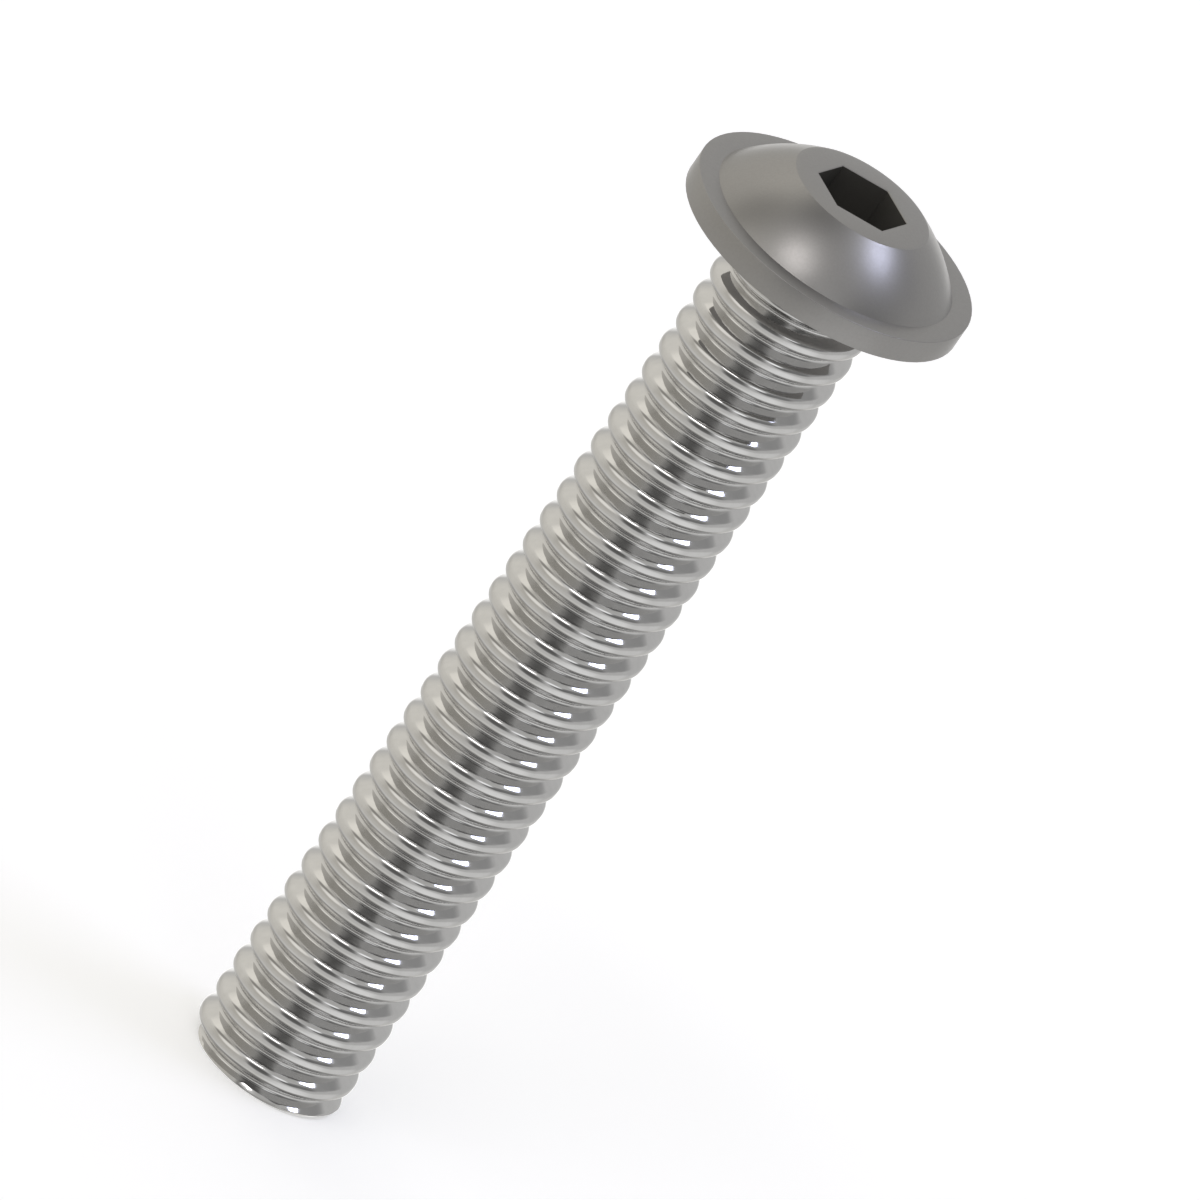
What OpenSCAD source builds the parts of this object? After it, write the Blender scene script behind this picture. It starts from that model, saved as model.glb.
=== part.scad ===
// Socket head flange screw: a low domed head on a round flange, a hexagon
// socket in its flat top, and a shank threaded right up to the flange.
// The screw stands on the flat face of its tip, with the head on top. The
// origin is the centre of that face, up is +Z, the front is towards -Y and
// lengths are in millimetres. Every part is drawn from the flange's
// underside at height 0, the head above it and the shank below it, and the
// whole is then lifted onto the floor.

/* [Head] */
// Flange diameter
flange_d = 17.8; // [14:0.1:22]
// Flange thickness at its rim
flange_t = 1.5; // [0.8:0.05:2.5]
// Diameter where the dome meets the flange's flat ledge
dome_base_d = 15.2; // [12:0.1:16.6]
// Diameter of the flat on top of the dome
crown_d = 8.56; // [6.6:0.02:10]
// Height of the whole head over the flange's underside
head_h = 4.4; // [3.4:0.05:5.6]
// How far the dome's arc bulges outside its own chord
dome_bulge = 0.21; // [0.05:0.01:0.6]
// Radius of the rim's two rounded edges
rim_round = 0.12; // [0.05:0.01:0.4]

/* [Socket] */
// Hexagon size across its flats
socket_af = 5.0; // [4:0.05:5.4]
// Depth of the hexagon's full sides
socket_depth = 2.6; // [1.6:0.05:2.9]
// Included angle of the drill point that the socket ends in
socket_point_angle = 130; // [118:1:150]
// Diameter of that drill point
socket_point_d = 4.7; // [3:0.05:4.9]
// Turn of the hexagon about the screw's axis
socket_turn = 11.4; // [-30:0.1:30]

/* [Shank] */
// Length under the head, from the flange's underside to the tip
shank_l = 60; // [30:0.5:80]
// Diameter of the short plain neck under the flange
neck_d = 8.7; // [8.2:0.05:9]
// Length of that neck, its lower bevel left out
neck_l = 1.1; // [0.8:0.05:2]
// Height and depth of the bevel at the neck's lower end
neck_bevel = 0.4; // [0.2:0.05:0.6]
// Radius of the fillet between neck and flange
neck_fillet = 0.5; // [0.5:0.05:0.8]

/* [Thread] */
// Diameter over the thread's crests
thread_d = 9.68; // [9:0.02:9.7]
// Rise of the right-hand helix in one turn
thread_pitch = 1.832; // [1.5:0.01:2.2]
// Depth from crest to root
thread_depth = 0.735; // [0.6:0.005:1]
// Width of the flat along the middle of the rounded crest
crest_w = 0.36; // [0.1:0.01:0.4]
// Width of the sloping flat on each side of it
shoulder_w = 0.205; // [0.1:0.005:0.3]
// Depth that this sloping flat falls by
shoulder_depth = 0.14; // [0.05:0.01:0.25]
// Angle between a flank and a plane square to the axis
flank_angle = 37; // [28:0.5:38]
// Height of a crest over the tip's face, at the front
crest_over_tip = 1.52; // [0:0.01:3]
// Height over which the thread fades out under the neck
fade_l = 1.3; // [0.6:0.05:2.5]
// Depth of the last of the thread below the neck's surface
fade_sink = 0.15; // [0.1:0.01:0.3]
// Diameter of the tip's flat face
tip_d = 8.84; // [7.6:0.02:9.2]
// Straight facets in one turn of the helix
facets = 28; // [24:4:36]

/* [Hidden] */
// Circles drawn with this many sides are true circles in the built part
round_sides = 96;
// Radii read from the diameters above
flange_r = flange_d / 2;
crest_r = thread_d / 2;
root_r = crest_r - thread_depth;
neck_r = neck_d / 2;
tip_r = tip_d / 2;
// Height of one flank along the axis
flank_h = (thread_depth - shoulder_depth) * tan(flank_angle);
// The dome's arc: half its chord, its radius and its centre
dome_dx = dome_base_d / 2 - crown_d / 2;
dome_dy = head_h - flange_t;
dome_half = norm([dome_dx, dome_dy]) / 2;
dome_arc_r = (dome_half * dome_half + dome_bulge * dome_bulge) / (2 * dome_bulge);
dome_cx = (dome_base_d + crown_d) / 4 - (dome_arc_r - dome_bulge) * dome_dy / (2 * dome_half);
dome_cy = (flange_t + head_h) / 2 - (dome_arc_r - dome_bulge) * dome_dx / (2 * dome_half);
// Height of the drill point's cone
point_h = socket_point_d / 2 / tan(socket_point_angle / 2);
// The thread starts three turns below its last crest, and the tip cuts it off
start_z = -shank_l + crest_over_tip - 3 * thread_pitch;
end_z = -neck_l - neck_bevel + thread_pitch / 2;
steps = ceil((end_z - start_z) / thread_pitch * facets);
half_facet = 180 / facets;
// Height at which the fade begins
fade_z = end_z - thread_pitch / 2 - fade_l;
// Direction of the front, in degrees from +X
front = 270;
// How far above the screw's own parts its cutting shapes reach
past = 1;

// Lift of the helix's crest line, and fade of the thread, at step i
function lift(i) = start_z + thread_pitch * i / facets;
function turned(i) = front + half_facet + 360 * i / facets;
function fade(i) = max(0, min(1, (lift(i) - fade_z) / fade_l));
function crest_at(i) = crest_r + (neck_r - fade_sink - crest_r) * fade(i);
function root_at(i) = root_r + (neck_r - fade_sink - root_r) * fade(i);
function shoulder_at(i) = crest_at(i) + (root_at(i) - crest_at(i)) * shoulder_depth / thread_depth;
// The corners of the thread's section at step i, from below the crest upwards
section_heights = [
  -crest_w / 2 - shoulder_w,
  -crest_w / 2,
  crest_w / 2,
  crest_w / 2 + shoulder_w,
  crest_w / 2 + shoulder_w + flank_h,
  thread_pitch - crest_w / 2 - shoulder_w - flank_h
];
corners = len(section_heights);
function corner_r(i, j) = j == 1 || j == 2 ? crest_at(i)
  : j == 0 || j == 3 ? shoulder_at(i)
  : root_at(i);
function corner(i, j) = [
  corner_r(i, j) * cos(turned(i)),
  corner_r(i, j) * sin(turned(i)),
  lift(i) + half_facet / 360 * thread_pitch + section_heights[j]
];

// A closed solid round the screw's core with the helical thread on it. It
// runs past the tip, and its upper end fades into the neck.
module thread_body() {
  n = facets;
  m = corners;
  last = steps;
  pts = concat(
    [for (i = [0:last], j = [0:m - 1]) corner(i, j)],
    [[0, 0, start_z - thread_pitch], [0, 0, end_z + thread_pitch + past]]
  );
  low_apex = m * (last + 1);
  high_apex = low_apex + 1;
  sides = [
    for (i = [0:last - 1], j = [0:m - 2], half = [0, 1])
      half == 0
        ? [m * i + j, m * i + j + 1, m * (i + 1) + j + 1]
        : [m * i + j, m * (i + 1) + j + 1, m * (i + 1) + j]
  ];
  joins = [
    for (i = [0:last - n - 1], half = [0, 1])
      half == 0
        ? [m * i + m - 1, m * (i + n), m * (i + n + 1)]
        : [m * i + m - 1, m * (i + n + 1), m * (i + 1) + m - 1]
  ];
  low_rim = concat(
    [for (i = [0:n]) m * i],
    [for (j = [m - 1:-1:1]) j]
  );
  high_rim = concat(
    [for (i = [last - n:last]) m * i + m - 1],
    [for (j = [m - 2:-1:0]) m * last + j]
  );
  low_cap = [
    for (k = [0:len(low_rim) - 1])
      [low_rim[k], low_rim[(k + 1) % len(low_rim)], low_apex]
  ];
  high_cap = [
    for (k = [0:len(high_rim) - 1])
      [high_rim[(k + 1) % len(high_rim)], high_rim[k], high_apex]
  ];
  polyhedron(points = pts, faces = concat(sides, joins, low_cap, high_cap), convexity = 12);
}

// The turned outline that the thread is cut to: flat tip and lead-in bevel
module tip_cutter() {
  bevel = crest_r + past - tip_r;
  rotate_extrude($fn = round_sides)
    polygon([
      [0, -shank_l],
      [tip_r, -shank_l],
      [tip_r + bevel, -shank_l + bevel],
      [tip_r + bevel, flange_t],
      [0, flange_t]
    ]);
}

// Half the section of the flange, its edges rounded
module flange_section() {
  polygon([
    [0, 0],
    [flange_r - rim_round, 0],
    [flange_r - rim_round, rim_round],
    [flange_r, rim_round],
    [flange_r, flange_t - rim_round],
    [flange_r - rim_round, flange_t - rim_round],
    [flange_r - rim_round, flange_t],
    [0, flange_t]
  ]);
  for (y = [rim_round, flange_t - rim_round])
    translate([flange_r - rim_round, y])
      circle(r = rim_round, $fn = round_sides);
}

// Half the section of the dome: its arc between the ledge and the crown
module dome_section() {
  intersection() {
    translate([dome_cx, dome_cy])
      circle(r = dome_arc_r, $fn = round_sides);
    translate([0, flange_t / 2])
      square([flange_r, head_h - flange_t / 2]);
    polygon([
      [0, 0],
      [dome_base_d / 2, 0],
      [dome_base_d / 2, flange_t],
      [dome_base_d / 2 + past, flange_t],
      [dome_base_d / 2 + past, head_h],
      [0, head_h]
    ]);
  }
}

// Half the section of the neck, filleted into the flange above it
module neck_section() {
  polygon([
    [0, -neck_l - neck_bevel],
    [neck_r - neck_bevel, -neck_l - neck_bevel],
    [neck_r, -neck_l],
    [neck_r, flange_t / 2],
    [0, flange_t / 2]
  ]);
  difference() {
    translate([neck_r - neck_fillet / 2, -neck_fillet])
      square([neck_fillet * 1.5, neck_fillet + flange_t / 2]);
    translate([neck_r + neck_fillet, -neck_fillet])
      circle(r = neck_fillet, $fn = round_sides);
  }
}

// Flange, dome and neck in one turned solid
module head_body() {
  rotate_extrude($fn = round_sides)
    intersection() {
      union() {
        flange_section();
        dome_section();
        neck_section();
      }
      translate([0, -neck_l - neck_bevel - past])
        square([flange_r + past, head_h + neck_l + neck_bevel + 2 * past]);
    }
}

// What the socket takes away: the hexagon and its drill point
module socket_cutter() {
  rotate([0, 0, socket_turn])
    translate([0, 0, head_h - socket_depth])
      cylinder(r = socket_af / sqrt(3), h = socket_depth + past, $fn = 6);
  translate([0, 0, head_h - socket_depth - point_h])
    cylinder(r1 = 0, r2 = socket_point_d / 2, h = point_h, $fn = round_sides);
}

// The whole screw, lifted so that its tip stands on the floor
module screw() {
  color([0.62, 0.61, 0.6])
    translate([0, 0, shank_l])
      difference() {
        union() {
          intersection() {
            thread_body();
            tip_cutter();
          }
          head_body();
        }
        socket_cutter();
      }
}

screw();
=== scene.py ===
import math

import bmesh
import bpy
from mathutils import Matrix, Vector


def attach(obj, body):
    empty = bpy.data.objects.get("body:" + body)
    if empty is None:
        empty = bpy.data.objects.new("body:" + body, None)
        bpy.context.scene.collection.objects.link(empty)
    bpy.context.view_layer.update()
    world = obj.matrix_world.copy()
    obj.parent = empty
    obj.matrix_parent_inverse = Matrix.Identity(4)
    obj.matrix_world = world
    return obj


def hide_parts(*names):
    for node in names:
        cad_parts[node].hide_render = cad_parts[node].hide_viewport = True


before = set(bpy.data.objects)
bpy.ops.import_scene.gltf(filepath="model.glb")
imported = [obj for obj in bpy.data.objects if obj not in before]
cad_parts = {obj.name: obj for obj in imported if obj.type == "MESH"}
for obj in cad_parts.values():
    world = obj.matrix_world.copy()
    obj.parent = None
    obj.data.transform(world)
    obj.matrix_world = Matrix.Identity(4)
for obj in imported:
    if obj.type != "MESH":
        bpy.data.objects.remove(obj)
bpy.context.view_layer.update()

# Threaded shank. A steel rod, rolled with a right-hand thread from its bevelled tip to
# a short plain neck under the head. It is drawn with the flange's underside at height
# 0, the head above it and the shank below, and is lifted onto its tip at the end.
mm = 0.001
shank_length = 60 * mm
thread_radius = 4.84 * mm
thread_pitch = 1.832 * mm
crest_width = 0.13 * mm
crest_round = 0.43 * mm
root_round = 0.16 * mm
flank_angle = math.radians(37)
tip_radius = 4.42 * mm
crest_over_tip = 1.52 * mm
neck_radius = 4.35 * mm
neck_length = 1.1 * mm
neck_fillet = 0.5 * mm
fade_length = 1.7 * mm
front = math.radians(270)
socket_turn = math.radians(11.4)

# The thread's mesh has columns round the screw and rows up its section. From a crest down to
# a root, the rows are counted on the crest's arc, on the straight flank and on the root's arc.
columns = 78
half_crest_rows = 4
crest_rows = 9
flank_rows = 4
root_rows = 5
rows_in_turn = 2 * (crest_rows + flank_rows + root_rows)
beside_arc = 0.02 * mm
weld_reach = 0.0005 * mm

# The section's arcs meet its straight flanks this far from the crest's flat and from the
# root's middle, and the flank between them settles the thread's depth.
crest_reach = crest_round * math.cos(flank_angle)
root_reach = root_round * math.cos(flank_angle)
flank_width = (thread_pitch - crest_width) / 2 - crest_reach - root_reach
arcs_depth = (crest_round + root_round) * (1 - math.sin(flank_angle))
thread_depth = arcs_depth + flank_width / math.tan(flank_angle)


class Sums:
    """Writes arithmetic into a node tree: each call adds one Math node and gives its result."""

    def __init__(self, tree):
        self.tree = tree

    def __call__(self, operation, *terms):
        node = self.tree.nodes.new("ShaderNodeMath")
        node.operation = operation
        for socket, term in zip(node.inputs, terms):
            if isinstance(term, bpy.types.NodeSocket):
                self.tree.links.new(term, socket)
            else:
                socket.default_value = term
        return node.outputs[0]


def thread_tree():
    """A grid wrapped round the screw's axis, each turn of it climbing by one pitch."""
    tree = bpy.data.node_groups.new("rolled_thread", "GeometryNodeTree")
    face = tree.interface
    lengths = {
        "Thread Radius": thread_radius,
        "Root Radius": thread_radius - thread_depth,
        "Pitch": thread_pitch,
        "Crest Width": crest_width,
        "Crest Round": crest_round,
        "Crest Reach": crest_reach,
        "Root Round": root_round,
        "Root Reach": root_reach,
        "Shank Length": shank_length,
        "Tip Radius": tip_radius,
        "Crest Over Tip": crest_over_tip,
        "Neck Radius": neck_radius,
        "Neck Length": neck_length,
        "Fade Length": fade_length,
        "Flank Slope": 1 / math.tan(flank_angle),
        "Front": front,
        "First Column": socket_turn,
    }
    for name, size in lengths.items():
        socket = face.new_socket(name, in_out="INPUT", socket_type="NodeSocketFloat")
        socket.default_value = size
    for name, count in {"Columns": columns, "Rows In Turn": rows_in_turn}.items():
        socket = face.new_socket(name, in_out="INPUT", socket_type="NodeSocketInt")
        socket.default_value = count
    face.new_socket("Material", in_out="INPUT", socket_type="NodeSocketMaterial")
    face.new_socket("Geometry", in_out="OUTPUT", socket_type="NodeSocketGeometry")
    given = tree.nodes.new("NodeGroupInput")
    size = given.outputs
    sums = Sums(tree)

    def leg(longest, other):
        """The third side of a right triangle, from its longest side and another one."""
        squares = sums("SUBTRACT", sums("MULTIPLY", longest, longest), sums("MULTIPLY", other, other))
        return sums("SQRT", squares)

    # Whole turns that reach from below the tip's face to above the neck
    tip = sums("MULTIPLY", size["Shank Length"], -1)
    top = sums("MULTIPLY", size["Neck Length"], -1)
    crest = sums("ADD", tip, size["Crest Over Tip"])
    span = sums("ADD", sums("SUBTRACT", top, tip), sums("MULTIPLY", size["Pitch"], 3))
    turns = sums("CEIL", sums("DIVIDE", span, size["Pitch"]))
    rows = sums("MULTIPLY", turns, size["Rows In Turn"])

    grid = tree.nodes.new("GeometryNodeMeshGrid")
    grid.inputs["Size X"].default_value = 1
    grid.inputs["Size Y"].default_value = 1
    tree.links.new(sums("ADD", size["Columns"], 1), grid.inputs["Vertices X"])
    tree.links.new(sums("ADD", rows, 1), grid.inputs["Vertices Y"])
    place = tree.nodes.new("GeometryNodeInputPosition")
    split = tree.nodes.new("ShaderNodeSeparateXYZ")
    tree.links.new(place.outputs[0], split.inputs[0])
    along = sums("ADD", split.outputs["X"], 0.5)
    climb = sums("ADD", split.outputs["Y"], 0.5)

    # A row's share of its turn, with the rows bunched on the section's arcs
    row = sums("ROUND", sums("MULTIPLY", climb, rows))
    turn = sums("FLOOR", sums("DIVIDE", sums("ADD", row, 0.5), size["Rows In Turn"]))
    share = sums("SUBTRACT", sums("DIVIDE", row, size["Rows In Turn"]), turn)
    bunch = tree.nodes.new("ShaderNodeFloatCurve")
    crest_end = crest_width / 2 + crest_reach
    root_end = thread_pitch / 2 - root_reach
    flank_end = crest_rows + flank_rows
    stops = [
        (0, 0.0),
        (half_crest_rows, 0.5 * crest_end / thread_pitch),
        (crest_rows, crest_end / thread_pitch),
        (crest_rows + 1, (crest_end + beside_arc) / thread_pitch),
        (flank_end - 1, (root_end - beside_arc) / thread_pitch),
        (flank_end, root_end / thread_pitch),
        (rows_in_turn // 2, 0.5),
    ]
    stops += [(rows_in_turn - row_at, 1.0 - share_at) for row_at, share_at in stops[-2::-1]]
    points = bunch.mapping.curves[0].points
    points[0].location = (0, 0)
    points[1].location = (1, 1)
    for row_at, share_at in stops[1:-1]:
        points.new(row_at / rows_in_turn, share_at)
    for point in points:
        point.handle_type = "VECTOR"
    bunch.mapping.update()
    tree.links.new(share, bunch.inputs["Value"])
    turned = sums("ADD", turn, bunch.outputs[0])

    # Height of the point, kept between the tip's face and the neck
    angle = sums("ADD", sums("MULTIPLY", along, math.tau), size["First Column"])
    lead = sums("DIVIDE", sums("SUBTRACT", angle, size["Front"]), math.tau)
    helix = sums("MULTIPLY", size["Pitch"], sums("ADD", lead, sums("SUBTRACT", turned, 2)))
    free = sums("ADD", crest, helix)
    height = sums("MINIMUM", sums("MAXIMUM", free, tip), top)

    # Distance from the nearest crest, and the radius that the section has there
    past = sums("DIVIDE", sums("SUBTRACT", height, crest), size["Pitch"])
    phase = sums("FRACT", sums("ADD", sums("SUBTRACT", past, lead), 0.5))
    away = sums("MULTIPLY", sums("ABSOLUTE", sums("SUBTRACT", phase, 0.5)), size["Pitch"])
    off_crest = sums("MAXIMUM", sums("SUBTRACT", away, sums("MULTIPLY", size["Crest Width"], 0.5)), 0)
    on_arc = sums("MINIMUM", off_crest, size["Crest Reach"])
    drop = sums("SUBTRACT", size["Crest Round"], leg(size["Crest Round"], on_arc))
    fall = sums("MULTIPLY", sums("SUBTRACT", off_crest, on_arc), size["Flank Slope"])
    upper = sums("SUBTRACT", sums("SUBTRACT", size["Thread Radius"], drop), fall)
    off_root = sums("SUBTRACT", sums("MULTIPLY", size["Pitch"], 0.5), away)
    in_arc = sums("MINIMUM", off_root, size["Root Reach"])
    rise = sums("SUBTRACT", size["Root Round"], leg(size["Root Round"], in_arc))
    section = sums("MAXIMUM", upper, sums("ADD", size["Root Radius"], rise))

    # The thread fades into the neck, the bevel cuts it at the tip, and the first row closes
    # the tip's face at the axis
    last = sums("SUBTRACT", top, height)
    fade = tree.nodes.new("ShaderNodeMapRange")
    fade.interpolation_type = "SMOOTHSTEP"
    tree.links.new(last, fade.inputs["Value"])
    tree.links.new(size["Fade Length"], fade.inputs["From Min"])
    fade.inputs["From Max"].default_value = 0
    faded = sums(
        "ADD",
        sums("MULTIPLY", section, sums("SUBTRACT", 1, fade.outputs[0])),
        sums("MULTIPLY", size["Neck Radius"], fade.outputs[0]),
    )
    bevel = sums("ADD", size["Tip Radius"], sums("SUBTRACT", height, tip))
    cut = sums("MINIMUM", faded, bevel)
    closed = sums("MULTIPLY", cut, sums("GREATER_THAN", row, 0.5))

    join = tree.nodes.new("ShaderNodeCombineXYZ")
    tree.links.new(sums("MULTIPLY", closed, sums("COSINE", angle)), join.inputs["X"])
    tree.links.new(sums("MULTIPLY", closed, sums("SINE", angle)), join.inputs["Y"])
    tree.links.new(height, join.inputs["Z"])
    move = tree.nodes.new("GeometryNodeSetPosition")
    tree.links.new(grid.outputs["Mesh"], move.inputs["Geometry"])
    tree.links.new(join.outputs[0], move.inputs["Position"])
    weld = tree.nodes.new("GeometryNodeMergeByDistance")
    weld.inputs["Distance"].default_value = weld_reach
    tree.links.new(move.outputs["Geometry"], weld.inputs["Geometry"])
    solid = tree.nodes.new("GeometryNodeRealizeInstances")
    tree.links.new(weld.outputs["Geometry"], solid.inputs["Geometry"])
    coat = tree.nodes.new("GeometryNodeSetMaterial")
    tree.links.new(solid.outputs["Geometry"], coat.inputs["Geometry"])
    tree.links.new(size["Material"], coat.inputs["Material"])
    result = tree.nodes.new("NodeGroupOutput")
    tree.links.new(coat.outputs["Geometry"], result.inputs["Geometry"])
    return tree


# A steel's noise counts between these two levels, and swings its shade and gloss by these shares
noise_low = 0.3
noise_high = 0.7
shade_swing = 0.025
gloss_swing = 0.05


def steel(name, colour, metallic, roughness, grain, ripple, rise):
    """A steel whose shade and gloss vary with a fine grain, and whose surface ripples slightly."""
    material = bpy.data.materials.new(name)
    material.use_nodes = True
    nodes, links = material.node_tree.nodes, material.node_tree.links
    surface = nodes["Principled BSDF"]
    surface.inputs["Metallic"].default_value = metallic
    place = nodes.new("ShaderNodeTexCoord").outputs["Object"]
    speckle = nodes.new("ShaderNodeTexNoise")
    speckle.inputs["Scale"].default_value = grain
    speckle.inputs["Detail"].default_value = 4
    links.new(place, speckle.inputs["Vector"])
    shades = nodes.new("ShaderNodeValToRGB")
    shades.color_ramp.elements[0].position = noise_low
    shades.color_ramp.elements[0].color = [level * (1 - shade_swing) for level in colour] + [1]
    shades.color_ramp.elements[1].position = noise_high
    shades.color_ramp.elements[1].color = [level * (1 + shade_swing) for level in colour] + [1]
    links.new(speckle.outputs["Fac"], shades.inputs["Fac"])
    links.new(shades.outputs["Color"], surface.inputs["Base Color"])
    gloss = nodes.new("ShaderNodeMapRange")
    gloss.inputs["From Min"].default_value = noise_low
    gloss.inputs["From Max"].default_value = noise_high
    gloss.inputs["To Min"].default_value = roughness * (1 + gloss_swing)
    gloss.inputs["To Max"].default_value = roughness * (1 - gloss_swing)
    links.new(speckle.outputs["Fac"], gloss.inputs["Value"])
    links.new(gloss.outputs[0], surface.inputs["Roughness"])
    wave = nodes.new("ShaderNodeTexNoise")
    wave.inputs["Scale"].default_value = ripple
    wave.inputs["Detail"].default_value = 2
    links.new(place, wave.inputs["Vector"])
    bump = nodes.new("ShaderNodeBump")
    bump.inputs["Strength"].default_value = 1
    bump.inputs["Distance"].default_value = rise
    links.new(wave.outputs["Fac"], bump.inputs["Height"])
    links.new(bump.outputs["Normal"], surface.inputs["Normal"])
    return material


polished = steel(
    "polished_thread_steel",
    colour=(0.578, 0.574, 0.568),
    metallic=1,
    roughness=0.06,
    grain=1800,
    ripple=700,
    rise=0.016 * mm,
)

blank = bpy.data.objects.new("shank_blank", bpy.data.meshes.new("shank_blank"))
bpy.context.scene.collection.objects.link(blank)
roll = blank.modifiers.new("rolled_thread", "NODES")
roll.node_group = thread_tree()
for socket in roll.node_group.interface.items_tree:
    if socket.name == "Material":
        roll[socket.identifier] = polished
settled = blank.evaluated_get(bpy.context.evaluated_depsgraph_get())
shank_mesh = bpy.data.meshes.new_from_object(settled)
shank_mesh.materials.clear()
shank_mesh.materials.append(polished)
blank.modifiers.remove(roll)
bpy.data.objects.remove(blank)

# Head. A low dome on a round flange, cold formed with the shank and left satin. The
# hexagon is pressed into the flat crown over a drill point. One section is turned
# round the axis, and its inner rings change from circles to hexagons at the socket.
flange_radius = 8.9 * mm
flange_thickness = 1.5 * mm
rim_round = 0.04 * mm
dome_base_radius = 7.6 * mm
crown_radius = 4.28 * mm
crown_round = 0.25 * mm
head_height = 4.4 * mm
dome_bulge = 0.21 * mm
socket_across = 5.0 * mm
socket_depth = 2.6 * mm
socket_edge = 0.05 * mm
drill_radius = 2.35 * mm
drill_angle = math.radians(130)
crown_lift = 0.004 * mm
fillet_steps = 8
rim_steps = 5
dome_steps = 30
seam_reach = 0.001 * mm
sliver_reach = 0.0002 * mm
sharp_from = math.radians(22)

# Places of the three steels in the mesh's list of materials. The socket's steel is darkened as painted
# shade, standing in for the shade deep inside the socket.
thread_slot = 0
head_slot = 1
painted_shade_slot = 2


def arc(centre, radius, start, end, steps):
    """Points of a round stretch of the section, both ends included."""
    turns = [start + (end - start) * step / steps for step in range(steps + 1)]
    return [(centre[0] + radius * math.cos(t), centre[1] + radius * math.sin(t)) for t in turns]


def dome_arc(steps):
    """The dome's arc, from the flange's ledge up to the crown."""
    run = dome_base_radius - crown_radius
    rise = head_height - flange_thickness
    half = math.hypot(run, rise) / 2
    radius = (half * half + dome_bulge * dome_bulge) / (2 * dome_bulge)
    reach = radius - dome_bulge
    centre = (
        (dome_base_radius + crown_radius) / 2 - reach * rise / (2 * half),
        (flange_thickness + head_height) / 2 - reach * run / (2 * half),
    )
    start = math.atan2(flange_thickness - centre[1], dome_base_radius - centre[0])
    end = math.atan2(head_height - centre[1], crown_radius - centre[0])
    return arc(centre, radius, start, end, steps)


def hexagon(across, angle):
    """Distance from the axis to the side of a hexagon of that size, at that angle."""
    side = math.radians(60)
    return across / 2 / math.cos((angle - socket_turn) % side - side / 2)


def head_rings():
    """The head's rings from the neck up and into the socket: (circle radius, hexagon size, height)."""
    rim = flange_radius - rim_round
    quarter = math.pi / 2
    fillet_centre = (neck_radius + neck_fillet, -neck_fillet)
    outline = arc(fillet_centre, neck_fillet, 2 * quarter, quarter, fillet_steps)
    outline += arc((rim, rim_round), rim_round, -quarter, 0, rim_steps)
    outline += arc((rim, flange_thickness - rim_round), rim_round, 0, quarter, rim_steps)
    dome = dome_arc(dome_steps)
    last, before = dome[-1], dome[-2]
    outline += dome[:-1]
    outline += [((last[0] + before[0]) / 2, (last[1] + before[1]) / 2 + crown_lift)]
    outline += [(crown_radius - crown_round / 2, head_height)]
    rings = [(neck_radius, None, -neck_length)] + [(r, None, z) for r, z in outline]
    rings += [(None, socket_across + 2 * socket_edge, head_height)]
    rings += [(None, socket_across, head_height - socket_edge)]
    rings += [(None, socket_across, head_height - socket_depth)]
    rings += [(drill_radius, None, head_height - socket_depth)]
    point = drill_radius / math.tan(drill_angle / 2)
    rings += [(drill_radius / 2, None, head_height - socket_depth - point / 2)]
    return rings, head_height - socket_depth - point


def turned_head(mesh):
    """Adds the head's rings to the shank's mesh and welds them at the neck."""
    form = bmesh.new()
    form.from_mesh(mesh)
    for face in form.faces:
        face.material_index = thread_slot
    rings, bottom = head_rings()
    angles = [socket_turn + math.tau * column / columns for column in range(columns)]
    loops = []
    for circle, across, height in rings:
        loop = []
        for angle in angles:
            radius = circle if across is None else hexagon(across, angle)
            loop.append(form.verts.new((radius * math.cos(angle), radius * math.sin(angle), height)))
        loops.append(loop)
    for lower, upper, (circle, across, _) in zip(loops, loops[1:], rings):
        # Faces inside the socket and its drill point take the steel darkened as painted shade
        in_socket = across == socket_across or circle == drill_radius
        for column in range(columns):
            beside = (column + 1) % columns
            face = form.faces.new((lower[column], lower[beside], upper[beside], upper[column]))
            face.material_index = painted_shade_slot if in_socket else head_slot
    pole = form.verts.new((0, 0, bottom))
    for column in range(columns):
        face = form.faces.new((loops[-1][column], loops[-1][(column + 1) % columns], pole))
        face.material_index = painted_shade_slot
    bmesh.ops.remove_doubles(form, verts=form.verts, dist=seam_reach)
    bmesh.ops.dissolve_degenerate(form, edges=form.edges, dist=sliver_reach)
    bmesh.ops.recalc_face_normals(form, faces=form.faces)
    for face in form.faces:
        face.smooth = True
    form.to_mesh(mesh)
    form.free()


satin = steel(
    "satin_head_steel",
    colour=(0.306, 0.299, 0.291),
    metallic=0.85,
    roughness=0.335,
    grain=7000,
    ripple=5200,
    rise=0.0008 * mm,
)
# The socket's steel: the head's steel made much darker, as painted shade for the recess of the socket
socket_painted_shade = steel(
    "socket_steel_painted_shade",
    colour=(0.15, 0.145, 0.135),
    metallic=0.8,
    roughness=0.5,
    grain=1800,
    ripple=1600,
    rise=0.006 * mm,
)
turned_head(shank_mesh)
shank_mesh.materials.append(satin)
shank_mesh.materials.append(socket_painted_shade)
shank_mesh.set_sharp_from_angle(angle=sharp_from)

# How the screw stands. The flat face of its tip is on the floor, the head is on top, and
# the whole is one piece of steel.
shank_mesh.transform(Matrix.Translation((0, 0, shank_length)))
shank_mesh.name = "flange_screw"
screw = bpy.data.objects.new("flange_screw", shank_mesh)
bpy.context.scene.collection.objects.link(screw)
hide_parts("screw")
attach(screw, "root")

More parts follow.
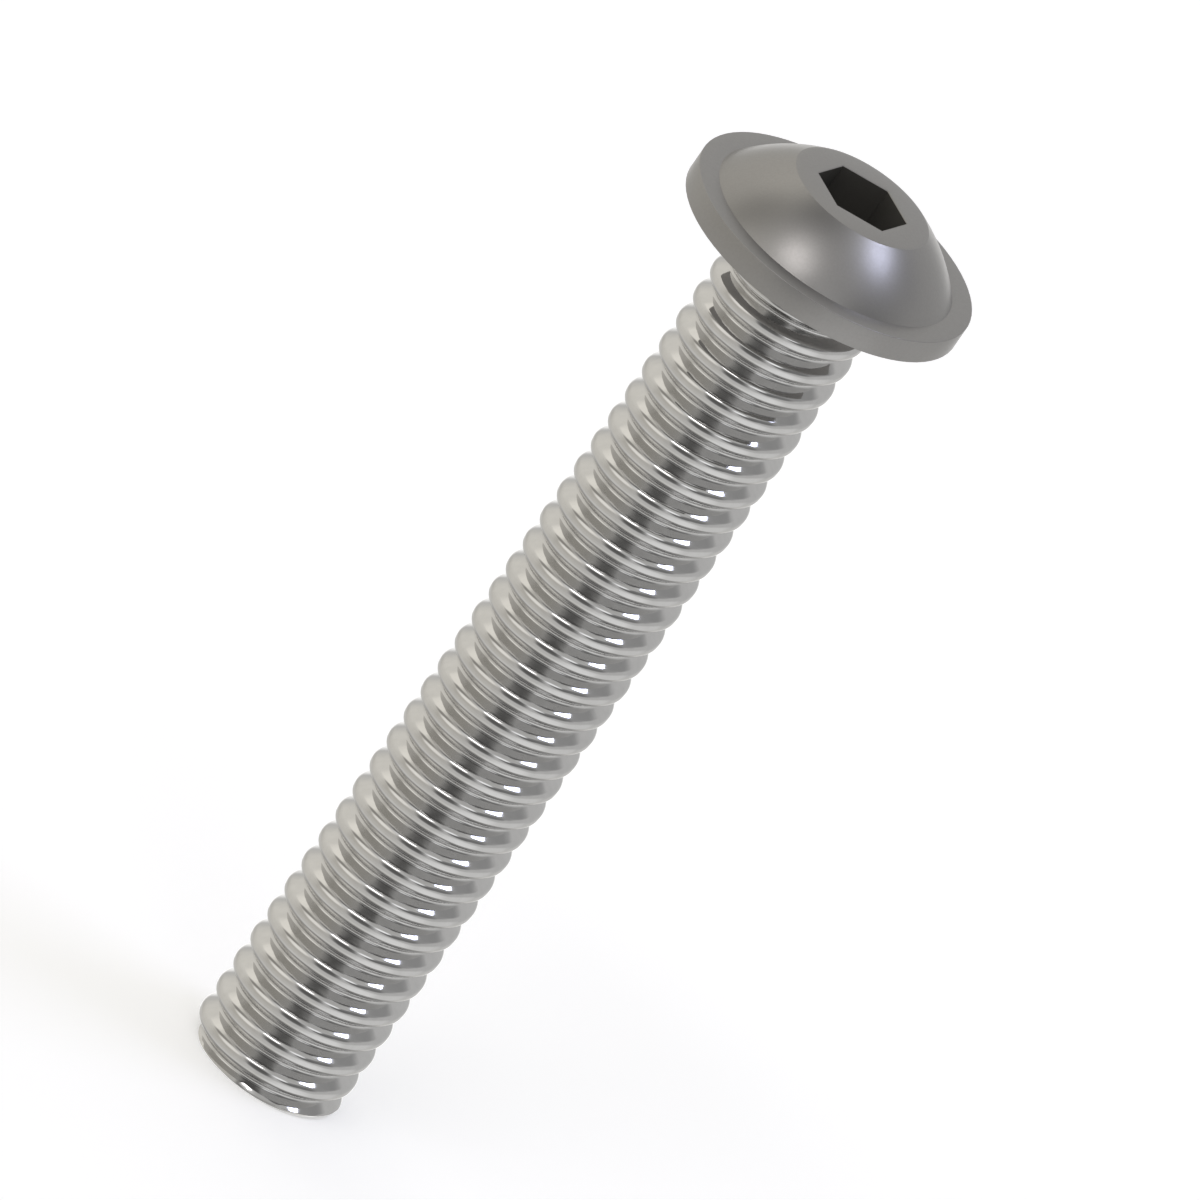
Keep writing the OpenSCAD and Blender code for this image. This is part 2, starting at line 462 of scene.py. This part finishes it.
# Floor. A white paper sheet that takes the screw's shadow. The camera sees it a little
# brighter, so that it comes out as plain white, and the steel reflects the room's own
# pale lower half in its place.
floor_half = 1.5
floor_glow = 0.35
floor_mesh = bpy.data.meshes.new("floor")
corners = [(x * floor_half, y * floor_half, 0) for x, y in ((-1, -1), (1, -1), (1, 1), (-1, 1))]
floor_mesh.from_pydata(corners, [], [(0, 1, 2, 3)])
floor = bpy.data.objects.new("floor", floor_mesh)
bpy.context.scene.collection.objects.link(floor)
paper = bpy.data.materials.new("white_paper")
paper.use_nodes = True
sheet = paper.node_tree.nodes["Principled BSDF"]
sheet.inputs["Base Color"].default_value = (0.85, 0.85, 0.85, 1)
sheet.inputs["Roughness"].default_value = 0.9
sheet.inputs["Specular IOR Level"].default_value = 0.1
sheet.inputs["Emission Color"].default_value = (1, 1, 1, 1)
ray = paper.node_tree.nodes.new("ShaderNodeLightPath")
sums = Sums(paper.node_tree)
glow = sums("MULTIPLY", ray.outputs["Is Camera Ray"], floor_glow)
paper.node_tree.links.new(glow, sheet.inputs["Emission Strength"])
opening = paper.node_tree.nodes.new("ShaderNodeBsdfTransparent")
choice = paper.node_tree.nodes.new("ShaderNodeMixShader")
paper.node_tree.links.new(ray.outputs["Is Glossy Ray"], choice.inputs[0])
paper.node_tree.links.new(sheet.outputs[0], choice.inputs[1])
paper.node_tree.links.new(opening.outputs[0], choice.inputs[2])
paper.node_tree.links.new(choice.outputs[0], paper.node_tree.nodes["Material Output"].inputs["Surface"])
floor_mesh.materials.append(paper)

# Studio. A pale room with a darker ceiling, and soft boxes that give the dome its two
# highlights. The camera sees plain white all round instead of the room.
world = bpy.data.worlds.new("studio")
bpy.context.scene.world = world
world.use_nodes = True
room = world.node_tree
look = room.nodes.new("ShaderNodeTexCoord").outputs["Generated"]
white = (1, 1, 1, 1)


def heading(right, up):
    """The direction that many degrees to the right of the front, and that many above the horizon."""
    right, up = math.radians(right), math.radians(up)
    return Vector((math.cos(up) * math.sin(right), -math.cos(up) * math.cos(right), math.sin(up)))


def zone(colour, towards, core, edge, shade):
    """Blends a round zone of another shade into the room, from its core out to its soft edge."""
    facing = room.nodes.new("ShaderNodeVectorMath")
    facing.operation = "DOT_PRODUCT"
    facing.inputs[1].default_value = towards
    room.links.new(look, facing.inputs[0])
    share = room.nodes.new("ShaderNodeMapRange")
    share.interpolation_type = "SMOOTHSTEP"
    share.inputs["From Min"].default_value = math.cos(math.radians(edge))
    share.inputs["From Max"].default_value = math.cos(math.radians(core))
    room.links.new(facing.outputs["Value"], share.inputs["Value"])
    blend = room.nodes.new("ShaderNodeMix")
    blend.data_type = "RGBA"
    room.links.new(share.outputs[0], blend.inputs["Factor"])
    for socket, term in (("A", colour), ("B", shade)):
        target = [i for i in blend.inputs if i.name == socket and i.type == "RGBA"][0]
        if isinstance(term, bpy.types.NodeSocket):
            room.links.new(term, target)
        else:
            target.default_value = term
    return [o for o in blend.outputs if o.type == "RGBA"][0]


def grey(level, warmth=0.0):
    """A neutral shade, a little warm, or cool where the warmth is below 0."""
    return (level, level * (1 - 0.3 * warmth), level * (1 - warmth), 1)


# The walls, a little warmer on the left
colour = zone(grey(0.66, 0.01), heading(-90, 0), 20, 90, grey(0.68, 0.12))
# The lower half, brightest to the front right, with duller patches round the foot
colour = zone(colour, heading(0, -90), 40, 80, grey(0.86, 0.05))
colour = zone(colour, heading(50, -40), 5, 40, grey(1.06))
colour = zone(colour, heading(118, -62), 8, 32, grey(0.32, 0.03))
colour = zone(colour, heading(-135, -60), 8, 32, grey(0.45, 0.05))
colour = zone(colour, heading(-20, -88), 12, 39, grey(0.29, 0.05))
# Brighter stretches round the horizon, on the left, on the right and behind
colour = zone(colour, heading(-112, -2), 8, 34, grey(0.86, 0.10))
colour = zone(colour, heading(98, -22), 8, 28, grey(0.86, 0.01))
colour = zone(colour, heading(180, -14), 10, 26, grey(1.25, 0.02))
# The ceiling, the pale wall behind on the left, and the dark places beside it
colour = zone(colour, heading(0, 90), 16, 38, grey(0.60, 0.03))
colour = zone(colour, heading(-132, 36), 14, 44, grey(0.93, 0.10))
colour = zone(colour, heading(-124, 45), 5, 18, grey(1.16, 0.11))
colour = zone(colour, heading(-105, 76), 4, 21, grey(0.12, 0.04))
colour = zone(colour, heading(-93, 43), 6, 19, grey(0.38, 0.12))
# A window to the front left, dark walls to the right, and the pale glow round one lamp
colour = zone(colour, heading(-60, 27), 7, 26, grey(1.18, 0.08))
colour = zone(colour, heading(122, 46), 6, 20, grey(0.38))
colour = zone(colour, heading(88, 44), 6, 22, grey(0.41))
colour = zone(colour, heading(117, 66), 5, 14, grey(1.25, -0.05))
# Darkness to the front and the front right, which draws the black line down the thread
colour = zone(colour, heading(61, 31), 10, 24, grey(0.25))
colour = zone(colour, heading(39, 19), 8, 19, grey(0.21))
colour = zone(colour, heading(-4, 5), 8, 25, grey(0.18, 0.03))
colour = zone(colour, heading(-8, 25), 9, 23, grey(0.15, 0.03))
# A pale strip that breaks it, and the glow round the other lamp
colour = zone(colour, heading(27, 37), 4, 13, grey(1.40, -0.02))
colour = zone(colour, heading(-33, 58), 6, 20, grey(0.98, 0.02))
ray = room.nodes.new("ShaderNodeLightPath")
plain = room.nodes.new("ShaderNodeBackground")
plain.inputs["Color"].default_value = white
around = room.nodes["Background"]
room.links.new(colour, around.inputs["Color"])
choice = room.nodes.new("ShaderNodeMixShader")
room.links.new(ray.outputs["Is Camera Ray"], choice.inputs[0])
room.links.new(around.outputs[0], choice.inputs[1])
room.links.new(plain.outputs[0], choice.inputs[2])
room.links.new(choice.outputs[0], room.nodes["World Output"].inputs["Surface"])

lamp_distance = 2.0


def soft_box(name, towards, width, height, radiance, colour):
    """A rectangular lamp far from the screw, facing it, of that brightness whatever its size."""
    light = bpy.data.lights.new(name, "AREA")
    light.shape = "RECTANGLE"
    light.size = width
    light.size_y = height
    light.energy = radiance * math.pi * width * height
    light.color = colour
    lamp = bpy.data.objects.new(name, light)
    bpy.context.scene.collection.objects.link(lamp)
    lamp.location = towards * lamp_distance
    lamp.rotation_euler = towards.to_track_quat("Z", "Y").to_euler()
    lamp.visible_camera = False


soft_box(
    "key_box",
    heading(-26.5, 60),
    width=0.64,
    height=0.36,
    radiance=4.2,
    colour=(1.0, 0.96, 0.965),
)
soft_box(
    "blue_box",
    heading(113, 62),
    width=0.70,
    height=0.44,
    radiance=5.1,
    colour=(0.685, 0.725, 1.0),
)

# Camera. Its rays are parallel. It looks down on the standing screw from the front, and is
# rolled so that the head lies to the upper right.
view_angle = math.radians(65.73)
axis_in_picture = Vector((0.56817, 0.82291))
picture_side = 1200
head_at = Vector((821.9, 257.2))
pixels_per_flange = 319.28
camera_distance = 0.4
nearest_seen = 0.01
farthest_seen = 5
screw_axis = Vector((0, 0, 1))
nearer = Vector((math.cos(front), math.sin(front), 0))
outwards = screw_axis * math.cos(view_angle) + nearer * math.sin(view_angle)
along = screw_axis * math.sin(view_angle) - nearer * math.cos(view_angle)
across = along.cross(outwards)
right = along * axis_in_picture.x + across * axis_in_picture.y
up = along * axis_in_picture.y - across * axis_in_picture.x
pixel = 2 * flange_radius / pixels_per_flange
centre = screw_axis * shank_length
centre = centre + right * (picture_side / 2 - head_at.x) * pixel
centre = centre + up * (head_at.y - picture_side / 2) * pixel
camera = bpy.data.objects.new("camera", bpy.data.cameras.new("camera"))
bpy.context.scene.collection.objects.link(camera)
bpy.context.scene.camera = camera
camera.data.type = "ORTHO"
camera.data.ortho_scale = picture_side * pixel
camera.data.clip_start = nearest_seen
camera.data.clip_end = farthest_seen
stand = Matrix((right, up, outwards)).transposed().to_4x4()
camera.matrix_world = Matrix.Translation(centre + outwards * camera_distance) @ stand

bpy.context.scene.view_settings.view_transform = "Standard"
